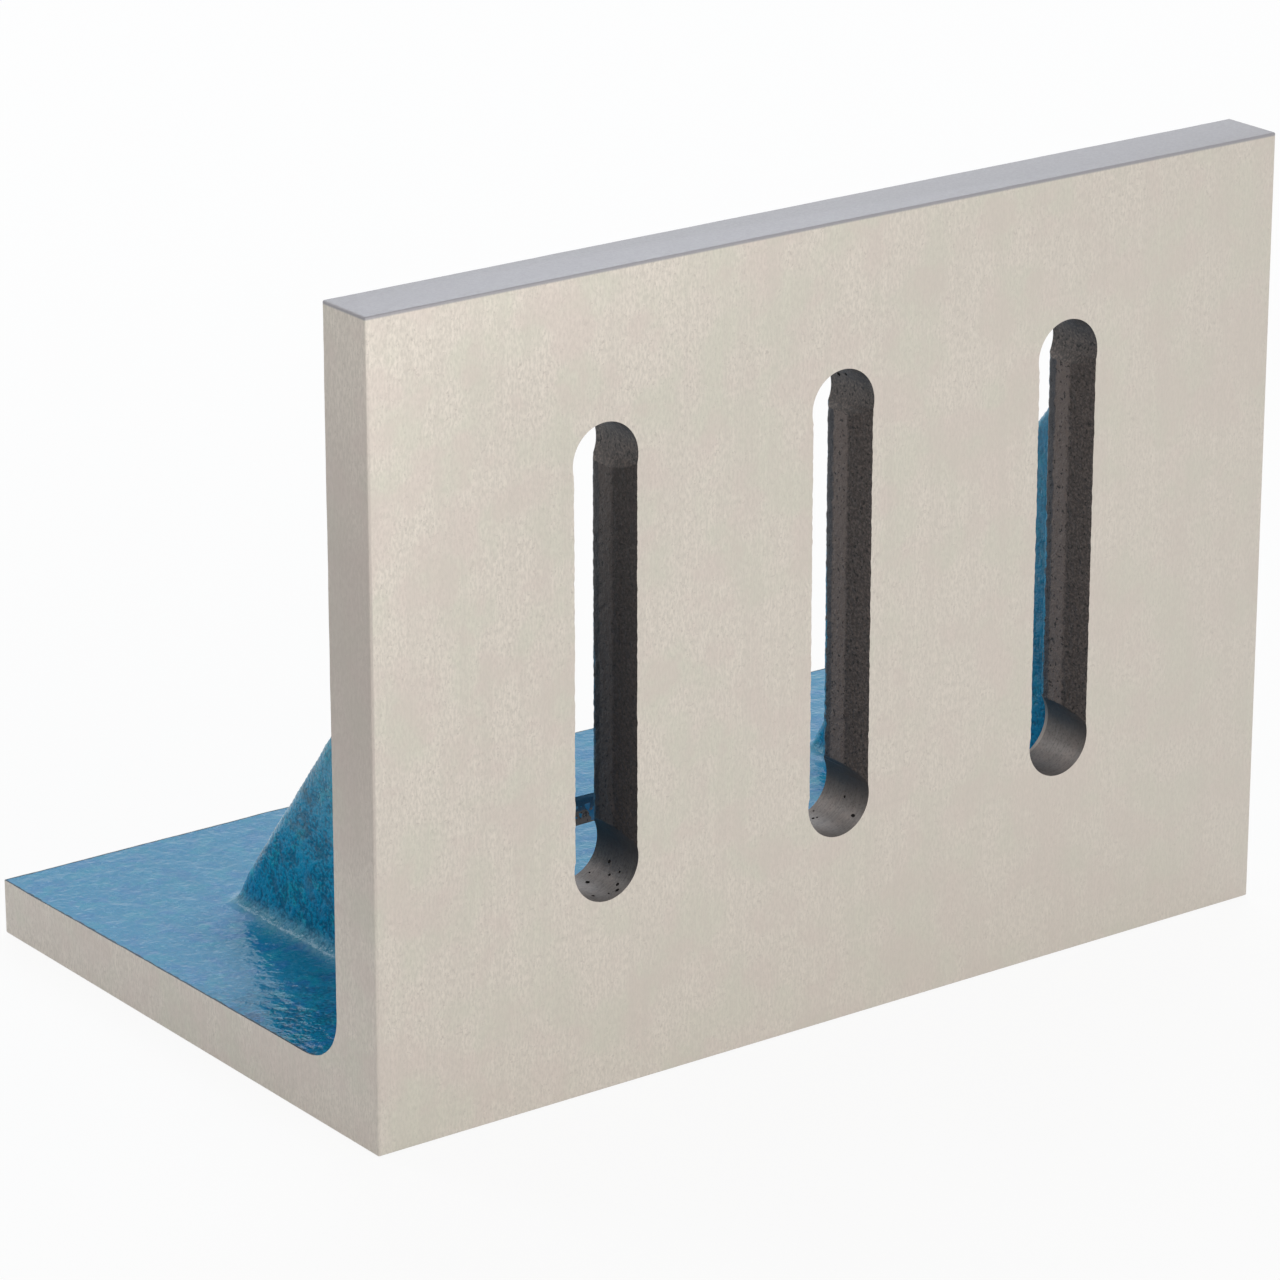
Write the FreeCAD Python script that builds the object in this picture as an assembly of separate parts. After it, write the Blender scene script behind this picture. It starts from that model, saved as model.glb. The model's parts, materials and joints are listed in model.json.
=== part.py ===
import FreeCAD, Part
import os
from math import atan2, cos, hypot, radians, sin, tan

# Webbed, slotted angle plate: one iron casting, millimetres.
# An upright wall and a foot meet at a right angle and are braced by two triangular webs.
# The outer faces, both ends, the top and the free edge of the foot are ground flat.
# Inside, between those faces, the metal is left as it was cast, with draft and fillets.
#
# Frame: X runs along the length, the ground front face looks along -Y, the ground base is Z = 0,
# and the origin is the centre of the base rectangle.

# ---- Driving dimensions ------------------------------------------------------------------
length = 203.2                  # ground end to ground end
height = 152.4                  # base to ground top
depth = 127.0                   # front face to the free edge of the foot
wall_thickness = 12.5           # upright wall
foot_root_thickness = 12.0      # foot, where it would meet the wall without its fillet
foot_edge_thickness = 10.75     # foot, at its free edge
corner_radius = 10.0            # inside corner between wall and foot
edge_break = 0.3                # chamfer on the ground outer edges

web_inset = 33.0                # end of the casting to the middle of a web
web_edge_thickness = 7.2        # web, at its sloping edge
web_draft = 0.6                 # degrees that each side of a web leans
web_height = 111.5              # base to the point where the slope reaches the wall
web_reach = 93.8                # front face to the point where the slope reaches the foot
nose_height = 8.0               # height of the steeper end of the slope, above the foot
nose_setback = 1.5              # distance that the steeper end takes off the toe
web_edge_radius = 2.0           # rounding of the sloping edges
web_fillet = 3.0                # fillet round the root of each web

slot_pitch = 52.25              # between the middles of the wall slots
wall_slot_count = 3
wall_slot_length = 88.8         # over the drilled ends
wall_slot_base = 36.2           # base to the bottom of the wall slots
foot_slot_length = 88.8         # over the drilled ends
foot_slot_place = 90.5          # front face to the middle of the foot slot
hole_diameter = 14.0            # drilled ends of every slot
slot_mouth_width = 13.5         # cored walls, at the ground face
slot_waist_width = 11.5         # cored walls, at the joint line of the core
slot_inner_width = 11.5         # cored walls, at the cast face
waist_share = 0.5               # how far through the metal the joint line lies
slot_rim_radius = 0.8           # rounding of the cored walls, where they meet the cast face

# ---- Values worked out from them -----------------------------------------------------------
front = -depth / 2              # Y of the ground front face
back = depth / 2                # Y of the free edge of the foot
left = -length / 2              # X of one ground end
wall_back = front + wall_thickness
foot_fall = (foot_root_thickness - foot_edge_thickness) / (depth - wall_thickness)
foot_slot_y = front + foot_slot_place
first_slot_x = -slot_pitch * (wall_slot_count - 1) / 2
wall_slot_centres = [first_slot_x + index * slot_pitch for index in range(wall_slot_count)]

# ---- Tolerances for finding edges ----------------------------------------------------------
on_plane = 1e-4                 # a point counts as lying on a flat face
on_curve = 0.2                  # a point counts as lying on the inside fillet
on_rim = 0.1                    # an edge counts as the rim of a cored wall


def foot_top(y):
    """Height of the cast top of the foot at a place along Y."""
    return foot_root_thickness - foot_fall * (y - wall_back)


def vector(x, y, z):
    return FreeCAD.Vector(x, y, z)


def prism(points, direction):
    """Solid swept from a closed outline of points along a direction."""
    outline = Part.makePolygon(points + [points[0]])
    return Part.Face(outline).extrude(direction)


def make_ground_block():
    """The block that grinding leaves: the outer planes with their edges broken."""
    block = Part.makeBox(length, depth, height, vector(left, front, 0))
    return block.makeChamfer(edge_break, block.Edges)


def make_angle():
    """The L section along the length, with its inside fillet and ground outer faces."""
    outline = [
        vector(left, front, 0),
        vector(left, back, 0),
        vector(left, back, foot_edge_thickness),
        vector(left, wall_back, foot_root_thickness),
        vector(left, wall_back, height),
        vector(left, front, height),
    ]
    section = prism(outline, vector(length, 0, 0))
    inside_corner = [
        edge for edge in section.Edges
        if all(abs(v.Y - wall_back) < 1e-6 and abs(v.Z - foot_root_thickness) < 1e-6 for v in edge.Vertexes)
    ]
    return section.makeFillet(corner_radius, inside_corner).common(make_ground_block())


def make_web(middle):
    """A triangular web with drafted sides, a blunt nose and rounded sloping edges."""
    toe = front + web_reach
    toe_height = foot_top(toe)
    fall = web_height - toe_height
    run = toe - wall_back
    slope = atan2(fall, run)
    along = vector(0, cos(slope), -sin(slope))
    outward = vector(0, sin(slope), cos(slope))

    # A bar that lies along the slope, thicker the deeper it goes, so that both sides have draft.
    bar_depth = fall + run
    bar_length = 3 * bar_depth
    top_half = web_edge_thickness / 2
    deep_half = top_half + bar_depth * tan(radians(web_draft))
    start = vector(middle, wall_back, web_height) - along * bar_depth
    deep = start - outward * bar_depth
    across = vector(1, 0, 0)
    bar = prism(
        [
            start - across * top_half,
            start + across * top_half,
            deep + across * deep_half,
            deep - across * deep_half,
        ],
        along * bar_length,
    )

    # The side view of the web, sunk half-way into the wall and the foot.
    sunk_y = wall_back - wall_thickness / 2
    sunk_z = foot_edge_thickness / 2
    nose_top_y = toe - nose_height * run / fall
    nose_top_z = toe_height + nose_height
    nose_run = toe - nose_setback - nose_top_y
    nose_foot_y = nose_top_y + nose_run * (nose_top_z - sunk_z) / nose_height
    side = middle - deep_half
    view = prism(
        [
            vector(side, sunk_y, sunk_z),
            vector(side, nose_foot_y, sunk_z),
            vector(side, nose_top_y, nose_top_z),
            vector(side, sunk_y, web_height + (wall_back - sunk_y) * fall / run),
        ],
        vector(2 * deep_half, 0, 0),
    )
    web = bar.common(view)
    rounded = [edge for edge in web.Edges if is_sloping_edge(edge, sunk_y, sunk_z)]
    return web.makeFillet(web_edge_radius, rounded)


def is_sloping_edge(edge, sunk_y, sunk_z):
    """True for the long edges beside the slope and the nose, outside the wall and the foot."""
    low, high = sorted((v.Point for v in edge.Vertexes), key=lambda p: p.z)
    middle = (low + high) * 0.5
    runs_down = high.z - low.z > on_plane and low.y - high.y > on_plane
    return runs_down and middle.y > sunk_y + on_plane and middle.z > sunk_z + on_plane


def on_cast_skin(point):
    """True where a point lies on the cast inside of the plain angle."""
    above_foot = point.z - foot_top(point.y)
    behind_wall = point.y - wall_back
    if above_foot < corner_radius and behind_wall < corner_radius:
        from_centre = hypot(corner_radius - above_foot, corner_radius - behind_wall)
        return abs(from_centre - corner_radius) < on_curve
    return abs(above_foot) < on_plane or abs(behind_wall) < on_plane


def web_root_edges(body, middle):
    """The edges where one web meets the wall, the foot and the fillet between them."""
    reach = web_edge_thickness / 2 + (web_height + web_reach) * tan(radians(web_draft))
    found = []
    for edge in body.Edges:
        first, last = edge.ParameterRange
        samples = [edge.valueAt(first + (last - first) * share) for share in (0.0, 0.25, 0.5, 0.75, 1.0)]
        if all(abs(p.x - middle) < reach and on_cast_skin(p) for p in samples):
            found.append(edge)
    return found


def make_casting():
    """The angle with both webs grown into it and a fillet round the root of each."""
    middles = (-length / 2 + web_inset, length / 2 - web_inset)
    body = make_angle().fuse([make_web(middle) for middle in middles]).removeSplitter()
    roots = [edge for middle in middles for edge in web_root_edges(body, middle)]
    return body.makeFillet(web_fillet, roots)


def make_core(overall, metal):
    """A core along Z through metal that lies from Y = 0 to Y = metal, centred on the origin.

    It is made in halves, so the walls that it leaves narrow to its joint line.
    It ends at the middles of the drilled holes.
    """
    half = (overall - hole_diameter) / 2
    waist = metal * waist_share
    over = metal
    mouth_slope = (slot_mouth_width - slot_waist_width) / 2 / waist
    inner_slope = (slot_inner_width - slot_waist_width) / 2 / (metal - waist)
    mouth = slot_mouth_width / 2 + mouth_slope * over
    inner = slot_inner_width / 2 + inner_slope * over
    neck = slot_waist_width / 2
    return prism(
        [
            vector(-mouth, -over, -half),
            vector(mouth, -over, -half),
            vector(neck, waist, -half),
            vector(inner, metal + over, -half),
            vector(-inner, metal + over, -half),
            vector(-neck, waist, -half),
        ],
        vector(0, 0, 2 * half),
    )


def make_drills(overall, metal):
    """The two drilled holes that clean the ends of a slot, in the place of its core."""
    half = (overall - hole_diameter) / 2
    drill_length = 3 * metal
    drills = [
        Part.makeCylinder(hole_diameter / 2, drill_length, vector(0, -metal, place), vector(0, 1, 0))
        for place in (-half, half)
    ]
    return Part.makeCompound(drills)


def in_slots(make):
    """The same kind of tool in every slot: those of the wall first, then the one in the foot."""
    tools = []
    for centre in wall_slot_centres:
        tool = make(wall_slot_length, wall_thickness)
        tool.translate(vector(centre, front, wall_slot_base + wall_slot_length / 2))
        tools.append(tool)
    tool = make(foot_slot_length, foot_top(foot_slot_y))
    tool.rotate(vector(0, 0, 0), vector(0, 1, 0), 90)
    tool.rotate(vector(0, 0, 0), vector(1, 0, 0), 90)
    tool.translate(vector(0, foot_slot_y, 0))
    tools.append(tool)
    return tools


def is_slot_rim(edge):
    """True for the long edges that the cores leave in the cast face of the wall or the foot."""
    if len(edge.Vertexes) < 2:
        return False
    first, last = (v.Point for v in edge.Vertexes)
    middle = (first + last) * 0.5
    half_width = slot_inner_width / 2
    in_wall = abs(middle.y - wall_back) < on_plane and abs(first.x - last.x) < on_plane
    in_foot = abs(middle.z - foot_top(middle.y)) < on_plane and abs(first.y - last.y) < on_plane
    if in_wall:
        return any(abs(abs(middle.x - centre) - half_width) < on_rim for centre in wall_slot_centres)
    return in_foot and abs(abs(middle.y - foot_slot_y) - half_width) < on_rim


def make_angle_plate():
    """The casting with its slots cored, their rims rounded and their ends drilled."""
    body = make_casting().cut(in_slots(make_core))
    rims = [edge for edge in body.Edges if is_slot_rim(edge)]
    return body.makeFillet(slot_rim_radius, rims).cut(in_slots(make_drills))


os.makedirs("parts", exist_ok=True)
angle_plate = make_angle_plate()
print("valid", angle_plate.isValid(), "solids", len(angle_plate.Solids))
print("volume", round(angle_plate.Volume, 1))
angle_plate.exportStep("parts/angle_plate.step")
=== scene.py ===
"""Webbed angle plate: a ground iron casting with blue paint inside, on a white studio floor."""

import json
import math
import random

import bmesh
import bpy
from bpy.props import FloatProperty, FloatVectorProperty, IntProperty, PointerProperty
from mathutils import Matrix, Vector


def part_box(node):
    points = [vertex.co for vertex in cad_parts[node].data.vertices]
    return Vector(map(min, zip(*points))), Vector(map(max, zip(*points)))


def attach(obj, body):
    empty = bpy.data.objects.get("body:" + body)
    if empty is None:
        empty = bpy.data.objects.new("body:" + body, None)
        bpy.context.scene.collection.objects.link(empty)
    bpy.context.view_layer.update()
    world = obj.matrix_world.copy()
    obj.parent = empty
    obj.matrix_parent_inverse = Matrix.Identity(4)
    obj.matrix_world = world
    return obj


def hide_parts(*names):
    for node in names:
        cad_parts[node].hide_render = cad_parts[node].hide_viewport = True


bl_info = {
    "name": "Webbed Angle Plate",
    "version": (1, 0, 0),
    "blender": (4, 5, 0),
    "location": "View3D > Sidebar > Angle Plate",
    "description": "Makes a ground and painted iron angle plate with its studio",
    "category": "Add Mesh",
}

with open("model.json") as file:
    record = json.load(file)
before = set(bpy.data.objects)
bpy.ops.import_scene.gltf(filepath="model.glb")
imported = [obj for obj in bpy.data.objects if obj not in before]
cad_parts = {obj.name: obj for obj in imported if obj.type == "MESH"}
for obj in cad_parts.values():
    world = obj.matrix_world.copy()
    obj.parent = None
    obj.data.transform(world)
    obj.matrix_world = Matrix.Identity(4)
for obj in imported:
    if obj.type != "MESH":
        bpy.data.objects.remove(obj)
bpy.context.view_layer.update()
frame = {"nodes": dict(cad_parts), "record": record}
LOW, HIGH = (Vector(corner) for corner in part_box("angle_plate"))
MOUNTS = {mount["name"]: mount for mount in frame["record"]["mounts"]}
WALL_SLOTS = ("wall_slot_left", "wall_slot_middle", "wall_slot_right")
PIECE = "angle_plate_casting"
WEB_INSET = 0.033                   # end of the casting to the middle of a web
FACE_DEPTH = 0.0006                 # reach of a face's own colour, which takes in its broken edges
FACE_BLUR = 0.0004                  # softness of the edge of that colour
RINGS_PER_METRE = (250, 3300, 250)  # ring marks of the drills, close together along their axis only

# Share of the pores that the lower and the upper hole of each wall slot have. The foot slot has none.
PORE_SHARES = ((1.3, 0.8), (0.6, 0.6), (0.35, 0.5))

# Name, place, size, setting of the power and tint of each lamp.
LAMPS = (
    ("key lamp", (0.0, -1.35, 0.15), 0.8, "key_power", (1.0, 0.98, 0.95)),
    ("rim lamp", (-0.43, 0.975, 0.78), 0.45, "rim_power", (1.0, 1.0, 1.0)),
    ("top lamp", (0.6, 0.7, 1.1), 0.9, "top_power", (0.86, 0.93, 1.0)),
)


# ---- Sizes and colours -----------------------------------------------------------------------


class CastingSettings(bpy.types.PropertyGroup):
    """Sizes of the casting's surfaces and of the cuts made in it."""

    grid: FloatProperty(
        name="Surface grid", description="Size of the faces on the cast surfaces",
        default=0.0011, min=0.0008, unit="LENGTH")
    core_grid: FloatProperty(
        name="Core grid", description="Size of the faces on the cored slot walls",
        default=0.00055, min=0.0004, unit="LENGTH")
    allowance: FloatProperty(
        name="Grinding allowance", description="Metal left on the outer faces for grinding",
        default=0.002, unit="LENGTH")
    edge_break: FloatProperty(
        name="Edge break", description="Chamfer on the ground outer edges",
        default=0.0003, unit="LENGTH")
    swell_height: FloatProperty(
        name="Swell height", description="Height of the broad waves in the cast surface",
        default=0.0003, unit="LENGTH")
    swell_size: FloatProperty(
        name="Swell size", description="Width of the broad waves in the cast surface",
        default=0.012, unit="LENGTH")
    lump_height: FloatProperty(
        name="Lump height", description="Height of the small lumps left by the sand",
        default=0.00016, unit="LENGTH")
    lump_size: FloatProperty(
        name="Lump size", description="Width of the small lumps left by the sand",
        default=0.0032, unit="LENGTH")
    core_lump_height: FloatProperty(
        name="Core lump height", description="Height of the small lumps left by the cores",
        default=0.0004, unit="LENGTH")
    core_lump_size: FloatProperty(
        name="Core lump size", description="Width of the small lumps left by the cores",
        default=0.0011, unit="LENGTH")
    wall_thickness: FloatProperty(
        name="Wall thickness", description="Thickness of the upright wall",
        default=0.0125, unit="LENGTH")
    foot_root_thickness: FloatProperty(
        name="Foot thickness at the wall", description="Thickness of the foot where it meets the wall",
        default=0.012, unit="LENGTH")
    foot_edge_thickness: FloatProperty(
        name="Foot thickness at the edge", description="Thickness of the foot at its free edge",
        default=0.01075, unit="LENGTH")
    hole_diameter: FloatProperty(
        name="Hole diameter", description="Diameter of the drilled ends of the slots",
        default=0.014, unit="LENGTH")
    slot_length: FloatProperty(
        name="Slot length", description="Length of a slot over its drilled ends",
        default=0.0888, unit="LENGTH")
    mouth_width: FloatProperty(
        name="Mouth width", description="Width of the cored slots at the ground face",
        default=0.0135, unit="LENGTH")
    waist_width: FloatProperty(
        name="Waist width", description="Width of the cored slots inside the joint line of the core",
        default=0.0115, unit="LENGTH")
    waist_share: FloatProperty(
        name="Waist share", description="How far through the metal the joint line lies",
        default=0.5, min=0.1, max=0.9, subtype="FACTOR")
    rim_radius: FloatProperty(
        name="Rim radius", description="Rounding of the cored walls at the cast face",
        default=0.0008, unit="LENGTH")
    exit_depth: FloatProperty(
        name="Exit depth", description="Depth of the bevel where the last drilled hole comes out",
        default=0.0013, unit="LENGTH")
    exit_width: FloatProperty(
        name="Exit width", description="Width of the bevel where the last drilled hole comes out",
        default=0.00045, unit="LENGTH")
    pore_count: IntProperty(
        name="Pores", description="Open pores in the drilled end of each slot", default=12, min=1)
    pore_radius: FloatProperty(
        name="Pore radius", description="Radius of the largest open pores",
        default=0.00042, unit="LENGTH")


class FinishSettings(bpy.types.PropertyGroup):
    """Colours of the ground iron, the bare cast iron and the paint."""

    ground_colour: FloatVectorProperty(
        name="Ground iron", description="Colour of the ground faces",
        default=(0.69, 0.635, 0.565), min=0, max=1, size=3, subtype="COLOR")
    # Used for the grain, and as painted shade towards the lower right.
    grain_and_shade_colour: FloatVectorProperty(
        name="Grain and shade", description="Colour of the darker grain lines, and of the painted shade, in the ground faces",
        default=(0.56, 0.517, 0.46), min=0, max=1, size=3, subtype="COLOR")
    ground_green: FloatVectorProperty(
        name="Green cast", description="Colour of the faint green clouds in the ground faces",
        default=(0.56, 0.56, 0.47), min=0, max=1, size=3, subtype="COLOR")
    ground_pink: FloatVectorProperty(
        name="Pink cast", description="Colour of the faint pink clouds in the ground faces",
        default=(0.60, 0.52, 0.475), min=0, max=1, size=3, subtype="COLOR")
    # Used for the specks, and as painted shade on the left end.
    speck_and_end_shade: FloatVectorProperty(
        name="Specks and end shade", description="Colour of the specks, and of the painted shade on the left end",
        default=(0.40, 0.35, 0.32), min=0, max=1, size=3, subtype="COLOR")
    # Painted light: a darker, cooler copy of the ground colour for the top face.
    top_face_painted_light: FloatVectorProperty(
        name="Top face", description="Darker, cooler colour painted on the ground top of the wall for the light there",
        default=(0.29, 0.285, 0.31), min=0, max=1, size=3, subtype="COLOR")
    core_colour: FloatVectorProperty(
        name="Cored iron", description="Colour of the slot walls, left as they were cast",
        default=(0.060, 0.050, 0.046), min=0, max=1, size=3, subtype="COLOR")
    core_dust: FloatVectorProperty(
        name="Core dust", description="Colour of the dust that clings to the slot walls",
        default=(0.19, 0.153, 0.137), min=0, max=1, size=3, subtype="COLOR")
    core_cool: FloatVectorProperty(
        name="Core shade", description="Colour of the slot walls behind the joint line",
        default=(0.060, 0.064, 0.075), min=0, max=1, size=3, subtype="COLOR")
    # Painted shade for the walls of the left slot.
    left_slot_shade: FloatVectorProperty(
        name="Left slot", description="Colour that darkens the walls of the left slot",
        default=(0.025, 0.021, 0.020), min=0, max=1, size=3, subtype="COLOR")
    pit_colour: FloatVectorProperty(
        name="Pits", description="Colour of the pits in the cored and the drilled iron",
        default=(0.01, 0.009, 0.009), min=0, max=1, size=3, subtype="COLOR")
    pore_colour: FloatVectorProperty(
        name="Pores", description="Colour inside the open pores",
        default=(0.004, 0.004, 0.004), min=0, max=1, size=3, subtype="COLOR")
    pore_dust: FloatVectorProperty(
        name="Pore dust", description="Colour of the dust in the open pores",
        default=(0.016, 0.013, 0.012), min=0, max=1, size=3, subtype="COLOR")
    bevel_colour: FloatVectorProperty(
        name="Bevel", description="Colour of the bevel where the last drilled hole comes out",
        default=(0.26, 0.225, 0.20), min=0, max=1, size=3, subtype="COLOR")
    drilled_colour: FloatVectorProperty(
        name="Drilled iron", description="Colour of the drilled ends of the slots",
        default=(0.155, 0.137, 0.128), min=0, max=1, size=3, subtype="COLOR")
    # Used for the ring marks and specks, and as painted shade in the drilled ends.
    drilled_marks_and_shade: FloatVectorProperty(
        name="Drilled marks and shade", description="Colour of the ring marks and specks, and of the painted shade in the drilled ends",
        default=(0.05, 0.045, 0.043), min=0, max=1, size=3, subtype="COLOR")
    paint_colour: FloatVectorProperty(
        name="Paint", description="Colour of the blue paint inside",
        default=(0.0, 0.27, 0.47), min=0, max=1, size=3, subtype="COLOR")
    paint_thin: FloatVectorProperty(
        name="Thin paint", description="Colour where the paint is thin over the iron",
        default=(0.012, 0.21, 0.48), min=0, max=1, size=3, subtype="COLOR")
    paint_green: FloatVectorProperty(
        name="Green paint", description="Colour of the greener clouds in the paint",
        default=(0.0, 0.33, 0.47), min=0, max=1, size=3, subtype="COLOR")
    # Painted shade of the paint: between the lumps, in the corners and in the foot slot.
    paint_shade: FloatVectorProperty(
        name="Paint in shade", description="Colour of the painted shade between the lumps, in the corners and in the foot slot",
        default=(0.0, 0.075, 0.15), min=0, max=1, size=3, subtype="COLOR")
    # Painted reflection: a paler colour for the sheen on the open foot.
    paint_sheen: FloatVectorProperty(
        name="Paint sheen", description="Paler colour for the painted sheen on the open foot",
        default=(0.10, 0.30, 0.50), min=0, max=1, size=3, subtype="COLOR")
    # Painted reflection of the bright surroundings, high on the webs and on their fillets.
    paint_reflection: FloatVectorProperty(
        name="Paint reflection", description="Colour of the painted reflection high on the webs and along their fillets",
        default=(0.07, 0.27, 0.39), min=0, max=1, size=3, subtype="COLOR")
    paint_worn: FloatVectorProperty(
        name="Worn paint", description="Colour where the iron shows through the paint on the webs",
        default=(0.055, 0.105, 0.125), min=0, max=1, size=3, subtype="COLOR")
    paint_edge: FloatVectorProperty(
        name="Paint edge", description="Colour of the bare line where the paint meets a ground face",
        default=(0.045, 0.055, 0.06), min=0, max=1, size=3, subtype="COLOR")
    paint_gloss: FloatProperty(
        name="Paint roughness", description="Roughness of the paint",
        default=0.07, min=0, max=1, subtype="FACTOR")
    grain_length: FloatProperty(
        name="Grain length", description="Length of the grinding marks",
        default=0.0011, unit="LENGTH")
    grain_width: FloatProperty(
        name="Grain width", description="Width of the grinding marks",
        default=0.00045, unit="LENGTH")


class StudioSettings(bpy.types.PropertyGroup):
    """Camera, lamps and floor of the studio."""

    lens: FloatProperty(
        name="Lens", description="Focal length of the camera, millimetres", default=161.55)
    eye: FloatVectorProperty(
        name="Eye", description="Place of the camera",
        default=(-0.60788, -0.82409, 0.42160), size=3, subtype="XYZ", unit="LENGTH")
    aim: FloatVectorProperty(
        name="Aim", description="Point that the camera looks at",
        default=(-0.00248, -0.00616, 0.05821), size=3, subtype="XYZ", unit="LENGTH")
    key_power: FloatProperty(
        name="Key lamp", description="Power of the lamp before the front face, watts", default=9.0, min=0)
    top_power: FloatProperty(
        name="Top lamp", description="Power of the lamp overhead, watts", default=6.5, min=0)
    rim_power: FloatProperty(
        name="Rim lamp", description="Power of the lamp behind on the left, watts", default=2.6, min=0)
    surround: FloatProperty(
        name="Surround", description="Strength of the white walls of the studio", default=0.55, min=0)
    floor_colour: FloatVectorProperty(
        name="Floor", description="Colour of the floor",
        default=(0.86, 0.86, 0.86), min=0, max=1, size=3, subtype="COLOR")


def casting_settings():
    return bpy.context.scene.angle_plate_casting


def finish_settings():
    return bpy.context.scene.angle_plate_finish


def studio_settings():
    return bpy.context.scene.angle_plate_studio


# ---- Help for modelling ------------------------------------------------------------------------


def only(obj):
    """Make one object the only selected and active one."""
    bpy.ops.object.select_all(action="DESELECT")
    obj.select_set(True)
    bpy.context.view_layer.objects.active = obj


def apply_modifier(obj, name, kind, **values):
    """Add a modifier, set its values and apply it."""
    only(obj)
    modifier = obj.modifiers.new(name, kind)
    for key, value in values.items():
        setattr(modifier, key, value)
    bpy.ops.object.modifier_apply(modifier=modifier.name)


def cut(obj, tool, operation):
    """Cut an object with a tool solid that leaves its own finish, then throw the tool away."""
    apply_modifier(
        obj, "cut", "BOOLEAN", operation=operation, object=tool,
        solver="MANIFOLD", material_mode="TRANSFER")
    bpy.data.objects.remove(tool, do_unlink=True)


def new_block(low, high):
    """A block between two corners."""
    bpy.ops.object.select_all(action="DESELECT")
    bpy.ops.mesh.primitive_cube_add(size=1, location=(low + high) / 2)
    block = bpy.context.object
    block.scale = high - low
    bpy.ops.object.transform_apply(location=True, rotation=True, scale=True)
    return block


def move_to(obj, place, turn=(0, 0, 0)):
    """Turn and move an object, and keep its place in its mesh."""
    only(obj)
    obj.rotation_euler = turn
    obj.location = place
    bpy.ops.object.transform_apply(location=True, rotation=True, scale=True)


def join(objects):
    bpy.ops.object.select_all(action="DESELECT")
    for obj in objects:
        obj.select_set(True)
    bpy.context.view_layer.objects.active = objects[0]
    bpy.ops.object.join()
    return objects[0]


def set_finish(obj, material):
    obj.data.materials.clear()
    obj.data.materials.append(material)


# ---- The casting -------------------------------------------------------------------------------


def foot_top(y):
    """Height of the cast top of the foot at a place along Y."""
    values = casting_settings()
    wall_back = LOW.y + values.wall_thickness
    share = (y - wall_back) / (HIGH.y - wall_back)
    return values.foot_root_thickness + share * (values.foot_edge_thickness - values.foot_root_thickness)


def slot_middle(name):
    """Middle of a slot at its outer face."""
    return Vector(MOUNTS[name]["pos_m"])


def slot_turns():
    """Middle of each slot at its outer face, its metal thickness and the turn that sets a tool in it."""
    metal = casting_settings().wall_thickness
    places = [(slot_middle(name), metal, (0, 0, 0)) for name in WALL_SLOTS]
    middle = slot_middle("foot_slot")
    places.append((middle, foot_top(middle.y), (math.pi / 2, 0, math.pi / 2)))
    return places


def hole_reach():
    """Distance from the middle of a slot to the middle of each of its drilled holes."""
    return (casting_settings().slot_length - casting_settings().hole_diameter) / 2


def raw_casting():
    """The casting before its slots, with metal left on every face that is ground later."""
    source = frame["nodes"]["angle_plate"]
    casting = source.copy()
    casting.data = source.data.copy()
    casting.name = PIECE
    casting.parent = None
    for key in list(casting.keys()):
        if key.startswith("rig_"):
            del casting[key]
    bpy.context.collection.objects.link(casting)
    only(casting)
    bpy.ops.object.mode_set(mode="EDIT")
    bpy.ops.mesh.select_all(action="SELECT")
    bpy.ops.mesh.remove_doubles(threshold=1e-6)
    bpy.ops.object.mode_set(mode="OBJECT")
    fill_slots(casting)
    leave_allowance(casting)
    return casting


def fill_slots(casting):
    """Close the slots, because cores and drills open them again with a surface of their own."""
    values = casting_settings()
    half_width = values.hole_diameter / 2 + values.allowance
    half_length = values.slot_length / 2 + values.allowance
    for name in WALL_SLOTS:
        middle = slot_middle(name)
        reach = Vector((half_width, 0, half_length))
        plug = new_block(middle - reach, middle + reach + Vector((0, values.wall_thickness, 0)))
        cut(casting, plug, "UNION")
    middle = slot_middle("foot_slot")
    reach = Vector((half_length, half_width, 0))
    plug = new_block(middle - reach, middle + reach + Vector((0, 0, foot_top(middle.y))))
    for vertex in plug.data.vertices:
        if vertex.co.z > LOW.z:
            vertex.co.z = foot_top(vertex.co.y)
    cut(casting, plug, "UNION")


def leave_allowance(casting):
    """Push the six outer planes of the casting outwards."""
    near = casting_settings().edge_break * 1.5
    allowance = casting_settings().allowance
    only(casting)
    for axis, side in ((0, -1), (0, 1), (1, -1), (1, 1), (2, -1), (2, 1)):
        plane = (LOW if side < 0 else HIGH)[axis]
        bpy.ops.object.mode_set(mode="EDIT")
        bpy.ops.mesh.select_all(action="DESELECT")
        bpy.ops.object.mode_set(mode="OBJECT")
        for vertex in casting.data.vertices:
            vertex.select = abs(vertex.co[axis] - plane) < near
        bpy.ops.object.mode_set(mode="EDIT")
        move = [0.0, 0.0, 0.0]
        move[axis] = side * allowance
        bpy.ops.transform.translate(value=move)
        bpy.ops.object.mode_set(mode="OBJECT")


def clouds(name, size, depth):
    texture = bpy.data.textures.new(name, "CLOUDS")
    texture.noise_scale = size
    texture.noise_depth = depth
    texture.noise_basis = "ORIGINAL_PERLIN"
    return texture


def roughen(obj, name, height, size, depth):
    """Raise and sink a surface with noise of one height and size."""
    apply_modifier(
        obj, name, "DISPLACE", texture=clouds(name, size, depth), texture_coords="LOCAL",
        strength=height, mid_level=0.5)


def sand_surface(casting):
    """Waves and lumps that the sand leaves on every surface that is not ground."""
    values = casting_settings()
    apply_modifier(casting, "grid", "REMESH", mode="VOXEL", voxel_size=values.grid)
    roughen(casting, "swell", values.swell_height, values.swell_size, 1)
    roughen(casting, "lumps", values.lump_height, values.lump_size, 2)


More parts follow.
